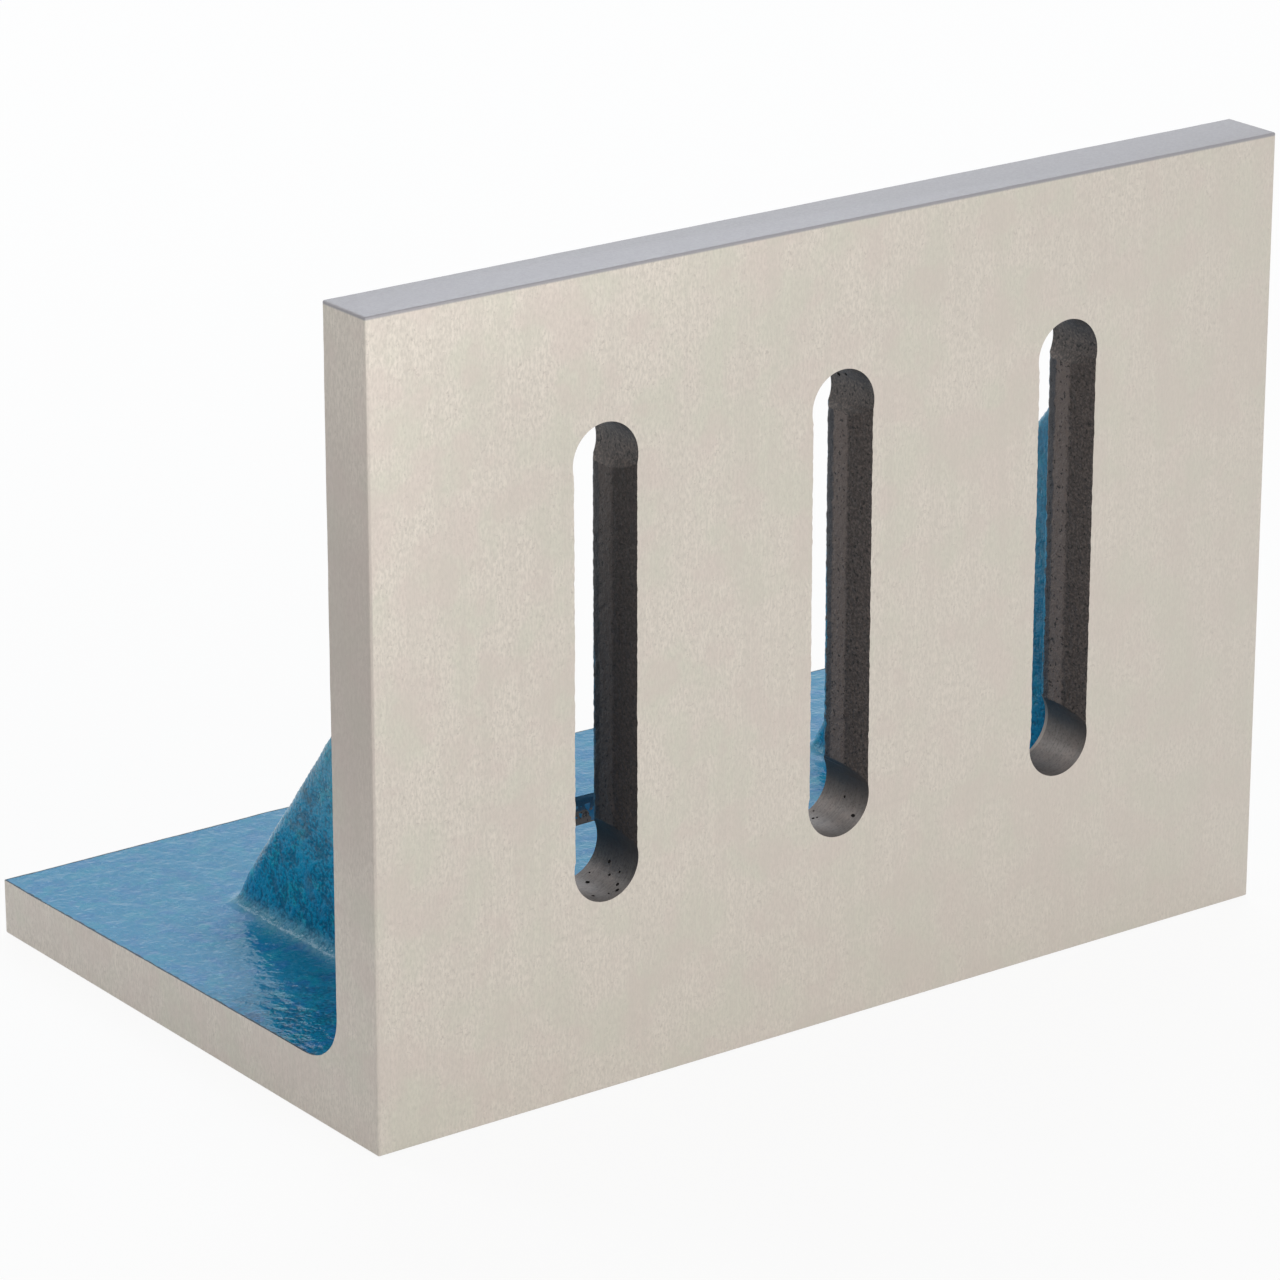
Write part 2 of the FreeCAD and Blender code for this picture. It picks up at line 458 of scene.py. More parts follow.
def grind(casting, finish):
    """Grind the outer faces flat, with a small break on their edges."""
    block = new_block(LOW, HIGH)
    apply_modifier(block, "edge break", "BEVEL", width=casting_settings().edge_break, segments=3)
    set_finish(block, finish)
    cut(casting, block, "INTERSECT")


def select_end(obj, side):
    """In edit mode, select the faces that lie furthest along Y on one side."""
    mesh = bmesh.from_edit_mesh(obj.data)
    furthest = max(side * face.calc_center_median().y for face in mesh.faces)
    for face in mesh.faces:
        face.select_set(side * face.calc_center_median().y > furthest - 1e-6)
    mesh.select_flush_mode()
    bmesh.update_edit_mesh(obj.data)


def draw_out(distance, old_width, new_width):
    """Extrude the selected faces along Y and give their far end another width."""
    bpy.ops.mesh.extrude_region_move(TRANSFORM_OT_translate={"value": (0, distance, 0)})
    bpy.ops.transform.resize(value=(new_width / old_width, 1, 1), center_override=(0, 0, 0))


def new_core(metal):
    """A core that stands along Z and goes through metal from Y = 0 to Y = metal."""
    values = casting_settings()
    half = hole_reach()
    waist = metal * values.waist_share
    inner = metal - values.rim_radius
    over = values.allowance * 1.5
    half_waist = values.waist_width / 2
    core = new_block(Vector((-half_waist, waist, -half)), Vector((half_waist, inner, half)))
    bpy.ops.object.mode_set(mode="EDIT")
    bpy.ops.mesh.select_mode(type="FACE")
    select_end(core, -1)
    flare = (values.mouth_width - values.waist_width) / waist
    draw_out(-(waist + over), values.waist_width, values.waist_width + flare * (waist + over))
    select_end(core, 1)
    width, place = values.waist_width, inner
    for angle in (30, 60, 90):
        turn = math.radians(angle)
        next_width = values.waist_width + 2 * values.rim_radius * (1 - math.cos(turn))
        next_place = inner + values.rim_radius * math.sin(turn)
        draw_out(next_place - place, width, next_width)
        width, place = next_width, next_place
    draw_out(over, width, width)
    bpy.ops.object.mode_set(mode="OBJECT")
    return core


def set_cores(casting, finish):
    """Open the slots with rough cores, one in each."""
    values = casting_settings()
    cores = []
    for middle, metal, turn in slot_turns():
        core = new_core(metal)
        move_to(core, middle, turn)
        cores.append(core)
    core = join(cores)
    apply_modifier(core, "grid", "REMESH", mode="VOXEL", voxel_size=values.core_grid)
    roughen(core, "core lumps", values.core_lump_height, values.core_lump_size, 1)
    set_finish(core, finish)
    cut(casting, core, "DIFFERENCE")


def new_drill(metal, beveled):
    """A drill along Y, past both faces of the metal, with a bevel where it comes out if asked for."""
    values = casting_settings()
    radius = values.hole_diameter / 2
    over = values.allowance
    depth = metal + 2 * over
    bpy.ops.object.select_all(action="DESELECT")
    bpy.ops.mesh.primitive_cylinder_add(
        vertices=128, radius=radius, depth=depth, location=(0, metal / 2, 0), rotation=(math.pi / 2, 0, 0))
    drill = bpy.context.object
    bpy.ops.object.transform_apply(location=True, rotation=True, scale=True)
    if beveled:
        bpy.ops.object.mode_set(mode="EDIT")
        bpy.ops.mesh.select_mode(type="FACE")
        select_end(drill, 1)
        bpy.ops.transform.translate(value=(0, -(over + values.exit_depth), 0))
        wide = 1 + values.exit_width / radius
        for distance, factor in ((values.exit_depth, wide), (over, 1)):
            bpy.ops.mesh.extrude_region_move(TRANSFORM_OT_translate={"value": (0, distance, 0)})
            bpy.ops.transform.resize(value=(factor, 1, factor), center_override=(0, 0, 0))
        bpy.ops.object.mode_set(mode="OBJECT")
    return drill


def hole_middles(middle, turn):
    """Middles of the two drilled holes of a slot."""
    along = Vector((1, 0, 0)) if turn[0] else Vector((0, 0, 1))
    return middle - along * hole_reach(), middle + along * hole_reach()


def drill_ends(casting, finish):
    """Drill the ends of every slot."""
    drills = []
    last_wall_slot = slot_middle(WALL_SLOTS[-1])
    for middle, metal, turn in slot_turns():
        for place in hole_middles(middle, turn):
            beveled = middle == last_wall_slot and place.z < middle.z
            drill = new_drill(metal, beveled)
            move_to(drill, place, turn)
            drills.append(drill)
    drill = join(drills)
    set_finish(drill, finish)
    cut(casting, drill, "DIFFERENCE")


def new_pore(place, radius, stretch):
    """A small ball, stretched along Y."""
    bpy.ops.object.select_all(action="DESELECT")
    bpy.ops.mesh.primitive_ico_sphere_add(subdivisions=2, radius=radius, location=place)
    pore = bpy.context.object
    pore.scale = (1, stretch, 1)
    bpy.ops.object.transform_apply(location=True, rotation=True, scale=True)
    return pore


def open_pores(casting, finish):
    """Small pores that the drill opened in the ends of the wall slots."""
    values = casting_settings()
    chance = random.Random(5)
    radius = values.hole_diameter / 2
    pores = []
    for (middle, metal, turn), slot_shares in zip(slot_turns(), PORE_SHARES):
        for place, share in zip(hole_middles(middle, turn), slot_shares):
            outward = -1 if place.z < middle.z else 1
            for _ in range(int(values.pore_count * share)):
                angle = chance.uniform(-1.2, 1.2)
                depth = chance.uniform(0.06, 0.9) * metal
                size = values.pore_radius * chance.uniform(0.45, 1.0)
                stretch = chance.uniform(0.8, 1.5)
                across, up = math.sin(angle) * radius, outward * math.cos(angle) * radius
                pores.append(new_pore(place + Vector((across, depth, up)), size, stretch))
    pore = join(pores)
    set_finish(pore, finish)
    cut(casting, pore, "DIFFERENCE")


# ---- Help for materials ------------------------------------------------------------------------


def add(tree, kind, inputs=None, **values):
    """Add a node, set its values, and link or fill its inputs."""
    node = tree.nodes.new(kind)
    for key, value in values.items():
        setattr(node, key, value)
    for key, value in (inputs or {}).items():
        if isinstance(value, bpy.types.NodeSocket):
            tree.links.new(value, node.inputs[key])
        else:
            node.inputs[key].default_value = value
    return node


def colour(value):
    return (*value, 1.0)


def remap(tree, value, low, high, to_low=0.0, to_high=1.0):
    """A smooth step of a value between two limits."""
    return add(tree, "ShaderNodeMapRange", {
        "Value": value, "From Min": low, "From Max": high, "To Min": to_low, "To Max": to_high,
    }, interpolation_type="SMOOTHSTEP").outputs["Result"]


def blend_colour(tree, mask, first, second):
    """The first colour where a mask is 0, and the second where it is 1."""
    node = add(tree, "ShaderNodeMix", {0: mask}, data_type="RGBA")
    for index, value in ((6, first), (7, second)):
        if isinstance(value, bpy.types.NodeSocket):
            tree.links.new(value, node.inputs[index])
        else:
            node.inputs[index].default_value = colour(value)
    return node.outputs[2]


def noise(tree, vector, size, detail=2.0, roughness=0.5):
    """Noise whose features are about one size across, in metres."""
    return add(tree, "ShaderNodeTexNoise", {
        "Vector": vector, "Scale": 1.0 / size, "Detail": detail, "Roughness": roughness,
    }).outputs["Fac"]


def math_node(tree, operation, first, second=0.0):
    return add(tree, "ShaderNodeMath", {0: first, 1: second}, operation=operation).outputs[0]


def times(tree, first, second):
    return math_node(tree, "MULTIPLY", first, second)


def plus(tree, first, second):
    return math_node(tree, "ADD", first, second)


def minus(tree, first, second):
    return math_node(tree, "SUBTRACT", first, second)


def absolute(tree, value):
    return math_node(tree, "ABSOLUTE", value)


def inverse(tree, mask):
    """1 where a mask is 0, and 0 where it is 1."""
    return minus(tree, 1.0, mask)


def blend_value(tree, mask, first, second):
    """The first value where a mask is 0, and the second where it is 1."""
    node = add(tree, "ShaderNodeMix", {0: mask, 2: first, 3: second}, data_type="FLOAT")
    return node.outputs[0]


def split(tree, vector):
    node = add(tree, "ShaderNodeSeparateXYZ", {0: vector})
    return node.outputs["X"], node.outputs["Y"], node.outputs["Z"]


def shifted(tree, vector):
    """The same place moved far away, so that a second noise doesn't follow the first."""
    return add(tree, "ShaderNodeVectorMath", {0: vector, 1: (3.1, 1.7, 2.3)}, operation="ADD").outputs[0]


def step(tree, value, place, width):
    """0 below a place and 1 above it, with a soft change of some width."""
    return remap(tree, value, place - width / 2, place + width / 2)


def band(tree, value, low, high, width):
    """1 between two places and 0 outside them."""
    return times(tree, step(tree, value, low, width), inverse(tree, step(tree, value, high, width)))


def new_group(name, inputs, outputs):
    """An empty node group with named inputs and outputs."""
    group = bpy.data.node_groups.new(name, "ShaderNodeTree")
    for label, kind, default in inputs:
        socket = group.interface.new_socket(label, in_out="INPUT", socket_type=kind)
        if default is not None:
            socket.default_value = default
    for label, kind in outputs:
        group.interface.new_socket(label, in_out="OUTPUT", socket_type=kind)
    return group, group.nodes.new("NodeGroupInput").outputs, group.nodes.new("NodeGroupOutput").inputs


def grain_group():
    """Short thin marks along Z, in long faint bands."""
    group, ins, outs = new_group(
        "Grinding grain",
        [("Vector", "NodeSocketVector", None), ("Width", "NodeSocketFloat", 0.0005),
         ("Length", "NodeSocketFloat", 0.0025)],
        [("Mark", "NodeSocketFloat"), ("Band", "NodeSocketFloat")])
    for output, wider, longer, detail in (("Mark", 1.0, 1.0, 3.0), ("Band", 4.0, 30.0, 2.0)):
        across = math_node(group, "DIVIDE", 1.0 / wider, ins["Width"])
        along = math_node(group, "DIVIDE", 1.0 / longer, ins["Length"])
        scale = add(group, "ShaderNodeCombineXYZ", {"X": across, "Y": across, "Z": along}).outputs[0]
        stretched = add(
            group, "ShaderNodeVectorMath", {0: ins["Vector"], 1: scale}, operation="MULTIPLY").outputs[0]
        mark = add(group, "ShaderNodeTexNoise", {
            "Vector": stretched, "Scale": 1.0, "Detail": detail, "Roughness": 0.6}).outputs["Fac"]
        group.links.new(mark, outs[output])
    return group


def sand_group():
    """Grains that sand leaves on cast iron, with the speckle and the pits that go with them."""
    group, ins, outs = new_group(
        "Sand grains",
        [("Vector", "NodeSocketVector", None), ("Size", "NodeSocketFloat", 0.001)],
        [("Height", "NodeSocketFloat"), ("Speckle", "NodeSocketFloat"), ("Pit", "NodeSocketFloat")])
    scale = math_node(group, "DIVIDE", 1.0, ins["Size"])
    grains = add(group, "ShaderNodeTexNoise", {
        "Vector": ins["Vector"], "Scale": scale, "Detail": 3.0, "Roughness": 0.55}).outputs["Fac"]
    group.links.new(grains, outs["Height"])
    group.links.new(noise(group, ins["Vector"], 0.0005, 2.0, 0.6), outs["Speckle"])
    group.links.new(noise(group, shifted(group, ins["Vector"]), 0.0007, 1.0), outs["Pit"])
    return group


def new_material(name):
    """A new material, its node tree, its shader and a place on the object for its patterns."""
    material = bpy.data.materials.new(name)
    material.use_nodes = True
    tree = material.node_tree
    shader = tree.nodes["Principled BSDF"]
    place = add(tree, "ShaderNodeTexCoord").outputs["Object"]
    return material, tree, shader, place


def use_group(tree, group, **inputs):
    node = tree.nodes.new("ShaderNodeGroup")
    node.node_tree = group
    for key, value in inputs.items():
        if isinstance(value, bpy.types.NodeSocket):
            tree.links.new(value, node.inputs[key])
        else:
            node.inputs[key].default_value = value
    return node.outputs


def bump(tree, height, distance, strength=1.0, normal=None):
    inputs = {"Height": height, "Distance": distance, "Strength": strength}
    if normal is not None:
        inputs["Normal"] = normal
    return add(tree, "ShaderNodeBump", inputs).outputs["Normal"]


# ---- Finishes ----------------------------------------------------------------------------------


def at_foot_slot(tree, y):
    """1 at the slot in the foot and 0 at those in the wall."""
    return step(tree, y, LOW.y + 2 * casting_settings().wall_thickness, 0.001)


def ground_iron(grain):
    """Surface-ground grey iron: pale, matt, with short upright marks and faint clouds."""
    values = finish_settings()
    material, tree, shader, place = new_material("ground iron")
    x, _, z = split(tree, place)
    marks = use_group(tree, grain, Vector=place, Width=values.grain_width, Length=values.grain_length)
    base = blend_colour(
        tree, remap(tree, marks["Mark"], 0.32, 0.68), values.ground_colour, values.grain_and_shade_colour)
    specks = remap(tree, noise(tree, place, 0.00055, 1.0), 0.64, 0.74, 0.0, 0.45)
    base = blend_colour(tree, specks, base, values.speck_and_end_shade)
    green = remap(tree, noise(tree, place, 0.011, 3.0), 0.45, 0.65, 0.0, 0.5)
    base = blend_colour(tree, green, base, values.ground_green)
    pink = remap(tree, noise(tree, shifted(tree, place), 0.008, 3.0), 0.45, 0.65, 0.0, 0.5)
    base = blend_colour(tree, pink, base, values.ground_pink)
    base = blend_colour(tree, remap(tree, marks["Band"], 0.42, 0.62, 0.0, 0.3), base, values.grain_and_shade_colour)

    # Painted shade: the face darkens a little to the lower right.
    lower_right_shade = minus(tree, x, times(tree, z, 0.6))
    base = blend_colour(tree, remap(tree, lower_right_shade, -0.15, 0.12, 0.0, 0.5), base, values.grain_and_shade_colour)

    # Painted shade: the left end is darker all over and darkest half-way up. Painted light: the top is
    # darker and cooler.
    on_left = inverse(tree, step(tree, x, LOW.x + FACE_DEPTH, FACE_BLUR))
    ragged = plus(tree, z, times(tree, noise(tree, place, 0.02), 0.03))
    painted_end_shade = times(tree, on_left, band(tree, ragged, 0.065, 0.140, 0.06))
    painted_end_shade = plus(tree, times(tree, painted_end_shade, 0.52), times(tree, on_left, 0.11))
    base = blend_colour(tree, painted_end_shade, base, values.speck_and_end_shade)
    on_top = step(tree, z, HIGH.z - FACE_DEPTH, FACE_BLUR)
    base = blend_colour(tree, times(tree, on_top, 0.92), base, values.top_face_painted_light)
    tree.links.new(base, shader.inputs["Base Color"])
    shader.inputs["Metallic"].default_value = 0.25
    tree.links.new(remap(tree, marks["Mark"], 0.3, 0.7, 0.42, 0.54), shader.inputs["Roughness"])
    tree.links.new(bump(tree, marks["Mark"], 0.000015, 0.5), shader.inputs["Normal"])
    return material


def cored_iron(sand):
    """Slot walls as the cores left them: rough iron in bands, with paint mist at the inner edge."""
    values = finish_settings()
    material, tree, shader, place = new_material("cored iron")
    x, y, z = split(tree, place)
    grains = use_group(tree, sand, Vector=place, Size=0.0009)
    dust = noise(tree, place, 0.002, 4.0, 0.65)
    in_foot = at_foot_slot(tree, y)

    # Depth through the metal, ragged so that no band has a straight edge.
    wall_share = math_node(tree, "DIVIDE", minus(tree, y, LOW.y), casting_settings().wall_thickness)
    foot_share = math_node(tree, "DIVIDE", z, foot_top(MOUNTS["foot_slot"]["pos_m"][1]))
    share = blend_value(tree, in_foot, wall_share, foot_share)
    ragged = plus(tree, share, times(tree, minus(tree, dust, 0.5), 0.16))

    # Dusty speckle, a paler band behind the joint line, a darker, cooler one at the back, and pits.
    speckle = remap(tree, grains["Speckle"], 0.40, 0.70, 0.0, 0.6)
    base = blend_colour(tree, speckle, values.core_colour, values.core_dust)
    joint = times(tree, band(tree, ragged, 0.48, 0.80, 0.06), 0.88)
    base = blend_colour(tree, joint, base, values.core_dust)
    base = blend_colour(tree, times(tree, step(tree, ragged, 0.80, 0.05), 0.8), base, values.core_cool)
    base = blend_colour(tree, remap(tree, grains["Pit"], 0.62, 0.70, 0.0, 0.85), base, values.pit_colour)

    # The paint mist reaches further in at the foot and at the lower half of the wall slots.
    low = times(tree, 0.06, inverse(tree, step(tree, z, 0.085, 0.02)))
    mist_edge = minus(tree, blend_value(tree, in_foot, 0.97, 0.80), low)
    mist = step(tree, minus(tree, ragged, mist_edge), 0.0, 0.02)
    thin = remap(tree, noise(tree, place, 0.0025, 3.0), 0.36, 0.48)
    mist = times(tree, mist, math_node(tree, "MAXIMUM", thin, in_foot))
    # In the foot slot the paint mist takes the colour of the painted shade.
    mist_colour = blend_colour(tree, in_foot, values.paint_colour, values.paint_shade)
    base = blend_colour(tree, times(tree, mist, 0.85), base, mist_colour)

    # Painted shade: the left slot of the wall is the darkest, since the web behind it keeps out light.
    shade = times(tree, remap(tree, x, -0.045, -0.015, 0.55, 0.0), inverse(tree, in_foot))
    base = blend_colour(tree, shade, base, values.left_slot_shade)
    tree.links.new(base, shader.inputs["Base Color"])
    shader.inputs["Metallic"].default_value = 0.1
    shader.inputs["Roughness"].default_value = 0.62
    tree.links.new(bump(tree, grains["Height"], 0.0003, 1.0), shader.inputs["Normal"])
    return material


def drilled_iron(sand):
    """Drilled ends of the slots: grey iron with ring marks, with painted shade at the upper ends."""
    values, sizes = finish_settings(), casting_settings()
    material, tree, shader, place = new_material("drilled iron")
    x, y, z = split(tree, place)
    grains = use_group(tree, sand, Vector=place, Size=0.0012)
    patches = noise(tree, place, 0.003, 3.0, 0.6)
    squeezed = add(
        tree, "ShaderNodeVectorMath", {0: place, 1: RINGS_PER_METRE}, operation="MULTIPLY").outputs[0]
    rings = add(tree, "ShaderNodeTexNoise", {"Vector": squeezed, "Scale": 1.0, "Detail": 2.0}).outputs["Fac"]
    base = blend_colour(
        tree, remap(tree, patches, 0.4, 0.7, 0.0, 0.6), values.drilled_colour, values.core_dust)
    base = blend_colour(tree, remap(tree, rings, 0.35, 0.7, 0.0, 0.35), base, values.drilled_marks_and_shade)
    specks = remap(tree, grains["Speckle"], 0.50, 0.66, 0.0, 0.5)
    base = blend_colour(tree, specks, base, values.drilled_marks_and_shade)

    # Painted shade: the lower holes are darker above their middle, where they face down, and the upper ones
    # all over, with dust and pits.
    middle = MOUNTS[WALL_SLOTS[0]]["pos_m"][2]
    upper_hole = middle + hole_reach()
    is_upper = step(tree, z, middle, 0.002)
    ragged = plus(tree, z, times(tree, patches, 0.003))
    lower_hole_shade = times(tree, step(tree, ragged, middle - hole_reach(), 0.006), 0.8)
    hole_shade = times(tree, is_upper, remap(tree, patches, 0.3, 0.6, 0.6, 1.0))
    hole_shade = math_node(tree, "MAXIMUM", hole_shade, lower_hole_shade)
    base = blend_colour(tree, hole_shade, base, values.drilled_marks_and_shade)
    rough = times(tree, is_upper, remap(tree, grains["Speckle"], 0.42, 0.68, 0.0, 0.75))
    base = blend_colour(tree, rough, base, values.core_dust)
    pits = remap(tree, grains["Pit"], 0.58, 0.66)
    pits = times(tree, pits, band(tree, z, upper_hole - 0.002, upper_hole + 0.0025, 0.002))
    base = blend_colour(tree, pits, base, values.pit_colour)

    # The bevel where the last drill came out is pale.
    last_slot = MOUNTS[WALL_SLOTS[-1]]["pos_m"][0]
    lip = step(tree, y, LOW.y + sizes.wall_thickness - sizes.exit_depth, 0.0002)
    lip = times(tree, lip, step(tree, x, last_slot - sizes.hole_diameter, 0.002))
    lip = times(tree, lip, inverse(tree, is_upper))
    lip = times(tree, lip, inverse(tree, at_foot_slot(tree, y)))
    base = blend_colour(tree, lip, base, values.bevel_colour)
    tree.links.new(base, shader.inputs["Base Color"])
    shader.inputs["Metallic"].default_value = 0.3
    shader.inputs["Roughness"].default_value = 0.48
    height = plus(tree, times(tree, rings, 0.25), grains["Height"])
    tree.links.new(bump(tree, height, 0.00008, 0.8), shader.inputs["Normal"])
    return material


def open_pore():
    """Inside of a pore: nearly black."""
    values = finish_settings()
    material, tree, shader, place = new_material("open pore")
    base = blend_colour(tree, noise(tree, place, 0.0004), values.pore_colour, values.pore_dust)
    tree.links.new(base, shader.inputs["Base Color"])
    shader.inputs["Roughness"].default_value = 0.9
    return material


def blue_paint():
    """Glossy blue paint over the sand-cast surface, chipped in a thin line at the ground faces."""
    values = finish_settings()
    material, tree, shader, place = new_material("blue paint")
    x, y, z = split(tree, place)
    pebbles = noise(tree, place, 0.0007, 2.0, 0.45)
    waves = noise(tree, place, 0.0032, 2.0)

    # Where the paint lies: on upright faces, or on the foot far from the wall or beside a web.
    above = minus(tree, z, foot_top(0))
    above = plus(tree, above, times(tree, y, foot_top(0) - foot_top(1)))
    upright = step(tree, above, 0.0008, 0.0008)
    far = times(tree, step(tree, y, LOW.y + 0.050, 0.030), inverse(tree, upright))
    from_web = absolute(tree, minus(tree, absolute(tree, x), HIGH.x - WEB_INSET))
    beside = inverse(tree, step(tree, from_web, 0.018, 0.016))
    beside = times(tree, beside, inverse(tree, step(tree, y, LOW.y + 0.080, 0.025)))
    sheen_zone = times(tree, far, inverse(tree, beside))

    # Violet and green clouds, painted shade between the lumps and in the corners by the wall and beside the
    # webs, and a painted sheen on the open foot.
    violet = remap(tree, noise(tree, place, 0.006, 3.0, 0.6), 0.48, 0.62)
    violet = times(tree, violet, blend_value(tree, upright, 1.0, 0.3))
    green = remap(tree, noise(tree, shifted(tree, place), 0.005, 3.0, 0.6), 0.50, 0.64)
    base = blend_colour(tree, violet, values.paint_colour, values.paint_thin)
    base = blend_colour(tree, green, base, values.paint_green)
    # Painted shade in the crevices between the lumps.
    crevice_shade = plus(tree, times(tree, pebbles, 0.6), times(tree, waves, 0.4))
    crevice_shade = times(tree, remap(tree, crevice_shade, 0.40, 0.56, 1.0, 0.0), blend_value(tree, far, 0.7, 0.15))
    base = blend_colour(tree, crevice_shade, base, values.paint_shade)
    # Painted sheen: the open foot, away from the wall and the webs, is paler where it mirrors the bright
    # surroundings.
    base = blend_colour(tree, times(tree, sheen_zone, 0.6), base, values.paint_sheen)
    # Painted shade in the corners where the foot meets the wall and beside the webs.
    corner = inverse(tree, math_node(tree, "MAXIMUM", sheen_zone, upright))
    base = blend_colour(tree, times(tree, corner, 0.3), base, values.paint_shade)

    # Painted reflection: it is paler high on the webs and along the fillets at their roots, where they
    # mirror the bright surroundings.
    high = step(tree, plus(tree, above, times(tree, waves, 0.02)), 0.040, 0.03)
    fillet = band(tree, from_web, 0.0040, 0.0072, 0.0012)
    low = band(tree, above, 0.0002, 0.0034, 0.0008)
    fillet = times(tree, times(tree, fillet, low), remap(tree, pebbles, 0.35, 0.60, 0.3, 0.9))
    pale = math_node(tree, "MAXIMUM", times(tree, high, 0.55), fillet)
    base = blend_colour(tree, pale, base, values.paint_reflection)

    # It is worn in patches on the sides of the webs.
    worn = remap(tree, noise(tree, place, 0.006, 4.0, 0.7), 0.52, 0.66)
    worn = times(tree, worn, band(tree, z, 0.020, 0.050, 0.016))
    worn = times(tree, worn, step(tree, y, LOW.y + 0.035, 0.02))
    base = blend_colour(tree, times(tree, worn, 0.6), base, values.paint_worn)

    # It is chipped along a ragged line where it meets the ends, the free edge and the top.
    to_end = minus(tree, HIGH.x, absolute(tree, x))
    nearest = math_node(tree, "MINIMUM", to_end, minus(tree, HIGH.y, y))
    nearest = math_node(tree, "MINIMUM", nearest, minus(tree, HIGH.z, z))
    nearest = minus(tree, nearest, times(tree, noise(tree, place, 0.002, 3.0), 0.0008))
    bare = inverse(tree, step(tree, nearest, 0.0, 0.0002))
    base = blend_colour(tree, times(tree, bare, 0.85), base, values.paint_edge)
    tree.links.new(base, shader.inputs["Base Color"])
    tree.links.new(blend_value(tree, bare, values.paint_gloss, 0.5), shader.inputs["Roughness"])
    strength = blend_value(tree, upright, blend_value(tree, far, 0.5, 0.4), 0.8)
    broad = bump(tree, waves, 0.00055, 0.8)
    fine = bump(tree, times(tree, pebbles, strength), 0.00025, 0.8, broad)
    tree.links.new(fine, shader.inputs["Normal"])
    shader.inputs["IOR"].default_value = 1.25
    return material


class ANGLEPLATE_OT_casting(bpy.types.Operator):
    """Cast, grind and drill the angle plate"""

    bl_idname = "angleplate.casting"
    bl_label = "Casting"

    def execute(self, context):
        grain, sand = grain_group(), sand_group()
        casting = raw_casting()
        set_finish(casting, blue_paint())
        sand_surface(casting)
        grind(casting, ground_iron(grain))
        set_cores(casting, cored_iron(sand))
        drill_ends(casting, drilled_iron(sand))
        open_pores(casting, open_pore())
        only(casting)
        bpy.ops.object.shade_smooth_by_angle(angle=math.radians(38))
        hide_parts("angle_plate")
        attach(casting, "root")
        return {"FINISHED"}


# ---- Studio ------------------------------------------------------------------------------------


def set_camera():
    values = studio_settings()
    bpy.ops.object.select_all(action="DESELECT")
    eye, aim = Vector(values.eye), Vector(values.aim)
    turn = (aim - eye).to_track_quat("-Z", "Y").to_euler()
    bpy.ops.object.camera_add(location=eye, rotation=turn)
    camera = bpy.context.object
    camera.data.lens = values.lens
    camera.data.clip_end = 20
    bpy.context.scene.camera = camera


def set_lamp(name, place, size, power, tint):
    """A square soft lamp that faces the middle of the object."""
    bpy.ops.object.select_all(action="DESELECT")
    place = Vector(place)
    turn = ((LOW + HIGH) / 2 - place).to_track_quat("-Z", "Y").to_euler()
    bpy.ops.object.light_add(type="AREA", location=place, rotation=turn)
    lamp = bpy.context.object
    lamp.name = name
    lamp.data.size = size
    lamp.data.energy = power
    lamp.data.color = tint


def set_lamps():
    for name, place, size, power, tint in LAMPS:
        set_lamp(name, place, size, getattr(studio_settings(), power), tint)


def seen_directly(tree):
    """1 for rays from the camera, off shiny surfaces or through clear ones, and 0 for the rest."""
    path = add(tree, "ShaderNodeLightPath").outputs
    direct = math_node(tree, "MAXIMUM", path["Is Camera Ray"], path["Is Glossy Ray"])
    return math_node(tree, "MAXIMUM", direct, path["Is Transmission Ray"])


def set_surround():
    """White walls: full white where they are seen, and dimmer as a light."""
    world = bpy.data.worlds.new("white walls")
    bpy.context.scene.world = world
    world.use_nodes = True
    tree = world.node_tree
    background = tree.nodes["Background"]
    background.inputs["Color"].default_value = (1, 1, 1, 1)
    strength = add(tree, "ShaderNodeMapRange", {
        "Value": seen_directly(tree), "To Min": studio_settings().surround, "To Max": 1.0,
    }).outputs["Result"]
    tree.links.new(strength, background.inputs["Strength"])


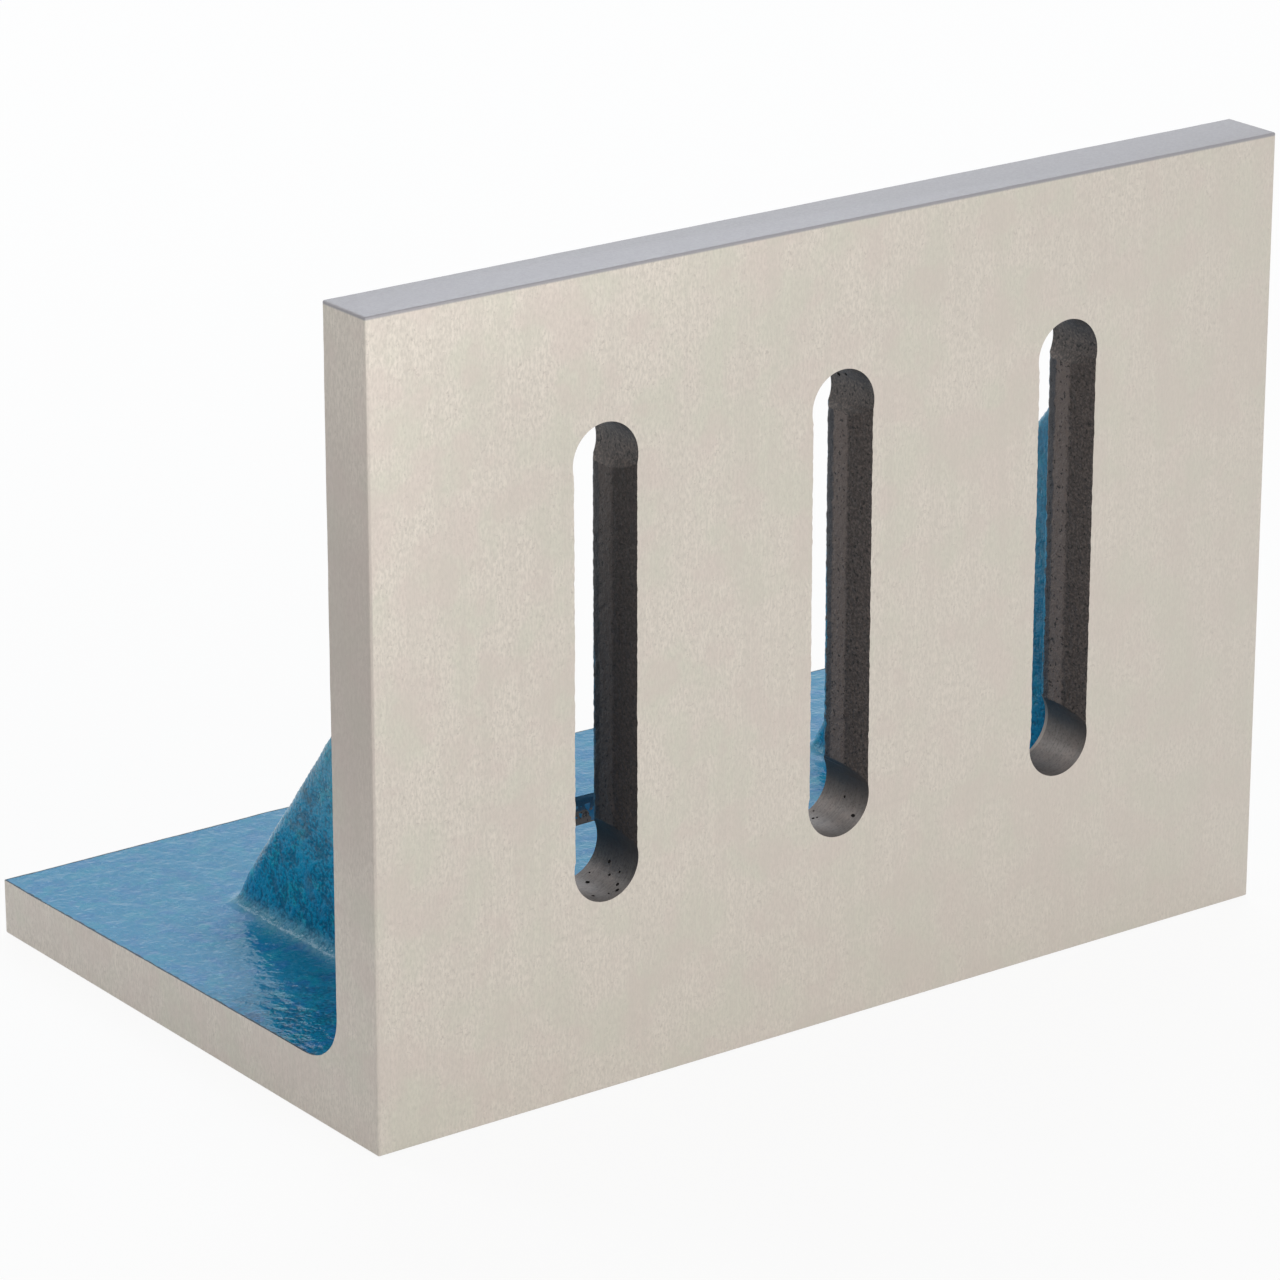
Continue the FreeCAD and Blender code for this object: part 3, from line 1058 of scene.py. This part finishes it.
def set_floor():
    """A wide white floor that keeps a faint shadow."""
    bpy.ops.object.select_all(action="DESELECT")
    bpy.ops.mesh.primitive_circle_add(vertices=96, radius=8, fill_type="NGON", location=(0, 0, -0.0002))
    floor = bpy.context.object
    floor.name = "studio_floor"
    bpy.ops.object.transform_apply(location=True)
    material, tree, shader, place = new_material("studio floor")
    shader.inputs["Base Color"].default_value = colour(studio_settings().floor_colour)
    shader.inputs["Roughness"].default_value = 0.9
    shader.inputs["Specular IOR Level"].default_value = 0.0
    glow = add(tree, "ShaderNodeEmission", {"Color": (1, 1, 1, 1), "Strength": 1.0}).outputs[0]
    share = times(tree, seen_directly(tree), 0.9)
    mixed = add(tree, "ShaderNodeMixShader", {0: share, 1: shader.outputs[0], 2: glow}).outputs[0]
    tree.links.new(mixed, tree.nodes["Material Output"].inputs["Surface"])
    floor.data.materials.append(material)


class ANGLEPLATE_OT_stage(bpy.types.Operator):
    """Set out the white floor, the lamps and the camera"""

    bl_idname = "angleplate.stage"
    bl_label = "Studio"

    def execute(self, context):
        set_camera()
        set_lamps()
        set_surround()
        set_floor()
        context.scene.view_settings.view_transform = "Standard"
        return {"FINISHED"}


class ANGLEPLATE_PT_panel(bpy.types.Panel):
    """Buttons that make the angle plate and its studio"""

    bl_label = "Angle Plate"
    bl_idname = "ANGLEPLATE_PT_panel"
    bl_space_type = "VIEW_3D"
    bl_region_type = "UI"
    bl_category = "Angle Plate"

    def draw(self, context):
        for operator in OPERATORS:
            self.layout.operator(operator.bl_idname)


OPERATORS = (ANGLEPLATE_OT_casting, ANGLEPLATE_OT_stage)
CLASSES = (CastingSettings, FinishSettings, StudioSettings, *OPERATORS, ANGLEPLATE_PT_panel)


def register():
    for kind in CLASSES:
        bpy.utils.register_class(kind)
    bpy.types.Scene.angle_plate_casting = PointerProperty(type=CastingSettings)
    bpy.types.Scene.angle_plate_finish = PointerProperty(type=FinishSettings)
    bpy.types.Scene.angle_plate_studio = PointerProperty(type=StudioSettings)


def unregister():
    del bpy.types.Scene.angle_plate_casting
    del bpy.types.Scene.angle_plate_finish
    del bpy.types.Scene.angle_plate_studio
    for kind in reversed(CLASSES):
        bpy.utils.unregister_class(kind)


def main():
    register()
    bpy.ops.angleplate.casting()
    bpy.ops.angleplate.stage()


if __name__ == "__main__":
    main()
